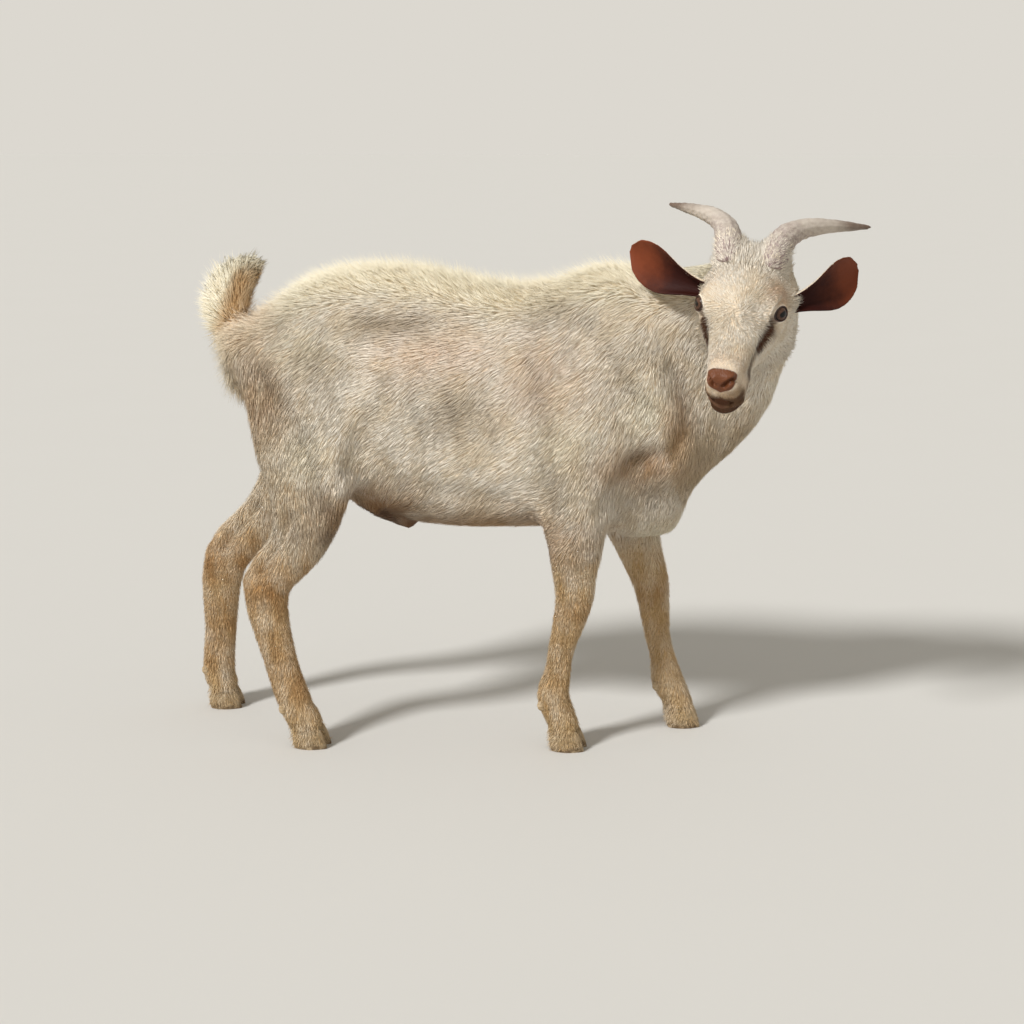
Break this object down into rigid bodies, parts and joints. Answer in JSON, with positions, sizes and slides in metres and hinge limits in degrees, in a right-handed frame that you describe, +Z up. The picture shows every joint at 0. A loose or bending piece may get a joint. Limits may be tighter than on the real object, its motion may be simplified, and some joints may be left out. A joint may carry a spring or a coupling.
{
  "type": "goat",
  "caption": "Life-size standing young buck goat, cream white with short curved horns, raised tail and its head turned over the right shoulder.",
  "frame": {"origin": "on the ground under the middle of the goat's bounding box", "axes": "+X the way the body faces, +Y to the goat's left, +Z up"},
  "size_m": [0.7772, 0.2914, 0.6115],
  "materials": {
    "coat": "short cream-white hair lying back along the body, tan on the legs",
    "ear": "thin bare skin inside, short hair outside",
    "horn": "dull ringed horn, brown at the tips",
    "eye": "wet and glossy",
    "hoof": "dull tan horn"
  },
  "bodies": {
    "root": {"head": "coat", "neck": "coat", "trunk": "coat", "tail": "coat", "leg_fore_right": "coat", "leg_fore_left": "coat", "leg_hind_right": "coat", "leg_hind_left": "coat", "eye_right": "eye", "horn_right": "horn", "ear_right": "ear", "eye_left": "eye", "horn_left": "horn", "ear_left": "ear", "claw_fore_right_outer": "hoof", "dewclaw_fore_right_outer": "hoof", "claw_fore_right_inner": "hoof", "dewclaw_fore_right_inner": "hoof", "claw_fore_left_outer": "hoof", "dewclaw_fore_left_outer": "hoof", "claw_fore_left_inner": "hoof", "dewclaw_fore_left_inner": "hoof", "claw_hind_right_outer": "hoof", "dewclaw_hind_right_outer": "hoof", "claw_hind_right_inner": "hoof", "dewclaw_hind_right_inner": "hoof", "claw_hind_left_outer": "hoof", "dewclaw_hind_left_outer": "hoof", "claw_hind_left_inner": "hoof", "dewclaw_hind_left_inner": "hoof"}
  },
  "joints": []
}
